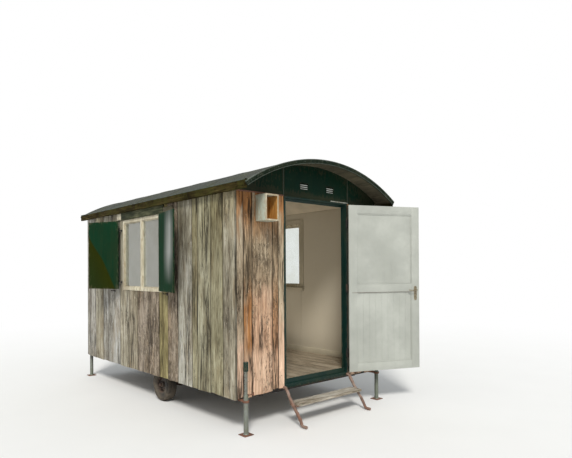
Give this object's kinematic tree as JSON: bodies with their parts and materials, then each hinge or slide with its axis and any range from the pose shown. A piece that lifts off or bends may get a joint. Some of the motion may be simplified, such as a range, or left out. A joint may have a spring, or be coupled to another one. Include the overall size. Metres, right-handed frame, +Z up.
{
  "type": "shepherds hut",
  "caption": "Wooden wagon hut on one axle with an arched roof, an open front door, shuttered side windows, corner props and a plank step.",
  "frame": {"origin": "on the ground under the middle of the bounding box, which the open door and shutters reach out to", "axes": "+Z up, +Y from the door end to the rear, +X to the right seen from the front"},
  "size_m": [2.7464, 4.4034, 2.785],
  "materials": {
    "dark_steel": "weathered dark paint",
    "rusty_steel": "rusted",
    "prop_steel": "weathered zinc with moss and rust",
    "floor_boards": "worn pale boards",
    "lining": "old off-white paint",
    "front_boards": "orange-brown waney boards",
    "side_boards": "silver-grey weathered boards",
    "green_sheet": "dark green paint, aged",
    "roof_wood": "plain boards",
    "roof_cover": "dark mineral felt with moss",
    "eave_wood": "mossy weathered board",
    "rim_paint": "faded green paint",
    "green_wood": "dark green paint",
    "cream_wood": "cream paint",
    "glass": "old window glass",
    "box_wood": "pale mint paint outside, bare plywood inside",
    "tread_wood": "bleached plank",
    "door_paint": "grey-white paint",
    "handle_metal": "worn satin",
    "shutter_paint": "dark green paint, faded",
    "tyre": "dusty old tyre"
  },
  "bodies": {
    "hut": {"chassis": "dark_steel", "axle": "rusty_steel", "front_left_prop": "prop_steel", "front_right_prop": "prop_steel", "rear_left_prop": "prop_steel", "rear_right_prop": "prop_steel", "floor": "floor_boards", "front_wall_left": "lining", "front_wall_right": "lining", "left_wall": "lining", "right_wall": "lining", "rear_wall": "lining", "front_cladding": "front_boards", "left_cladding": "side_boards", "right_cladding": "side_boards", "rear_cladding": "front_boards", "front_gable": "green_sheet", "rear_gable": "green_sheet", "roof_bows": "roof_wood", "roof_boards": "roof_wood", "roof_covering": "roof_cover", "ceiling": "lining", "eave_fascias": "eave_wood", "arch_rims": "rim_paint", "door_frame": "green_wood", "door_sill": "green_wood", "door_hinge_pins": "dark_steel", "left_window_frame": "cream_wood", "right_window_frame": "cream_wood", "window_glass": "glass", "window_headers": "green_wood", "shutter_pins": "dark_steel", "wall_box": "box_wood", "step_rails": "rusty_steel", "step_tread": "tread_wood"},
    "door": {"door_leaf": "door_paint", "handle_plates": "handle_metal"},
    "lever": {"door_lever": "handle_metal"},
    "left_near_shutter": {"left_near_shutter": "shutter_paint"},
    "left_far_shutter": {"left_far_shutter": "shutter_paint"},
    "right_near_shutter": {"right_near_shutter": "shutter_paint"},
    "right_far_shutter": {"right_far_shutter": "shutter_paint"},
    "left_wheel": {"left_tyre": "tyre", "left_rim": "rusty_steel"},
    "right_wheel": {"right_tyre": "tyre", "right_rim": "rusty_steel"}
  },
  "joints": [
    {"name": "door_swing", "type": "hinge", "parent": "hut", "child": "door", "pos_m": [0.51045, -1.7313, 1.385], "axis": [0, 0, 1], "range_deg": [-155.6, 10]},
    {"name": "lever_turn", "type": "hinge", "parent": "door", "child": "lever", "pos_m": [1.31382, -2.12922, 1.355], "axis": [-0.4131, -0.9107, 0], "range_deg": [0, 35], "stiffness_Nm_per_rad": 1, "springref_deg": -34.38},
    {"name": "left_near_shutter_swing", "type": "hinge", "parent": "hut", "child": "left_near_shutter", "pos_m": [-1.15305, -0.2873, 1.8], "axis": [0, 0, 1], "range_deg": [-168, 8]},
    {"name": "left_far_shutter_swing", "type": "hinge", "parent": "hut", "child": "left_far_shutter", "pos_m": [-1.15305, 0.8327, 1.8], "axis": [0, 0, 1], "range_deg": [-17, 159]},
    {"name": "right_near_shutter_swing", "type": "hinge", "parent": "hut", "child": "right_near_shutter", "pos_m": [1.11895, -0.4323, 1.8], "axis": [0, 0, 1], "range_deg": [-8, 168]},
    {"name": "right_far_shutter_swing", "type": "hinge", "parent": "hut", "child": "right_far_shutter", "pos_m": [1.11895, 0.6877, 1.8], "axis": [0, 0, 1], "range_deg": [-159, 17]},
    {"name": "left_wheel_spin", "type": "hinge", "parent": "hut", "child": "left_wheel", "pos_m": [-0.95205, -0.0183, 0.2], "axis": [1, 0, 0], "continuous": true},
    {"name": "right_wheel_spin", "type": "hinge", "parent": "hut", "child": "right_wheel", "pos_m": [0.91795, -0.0183, 0.2], "axis": [1, 0, 0], "continuous": true}
  ]
}
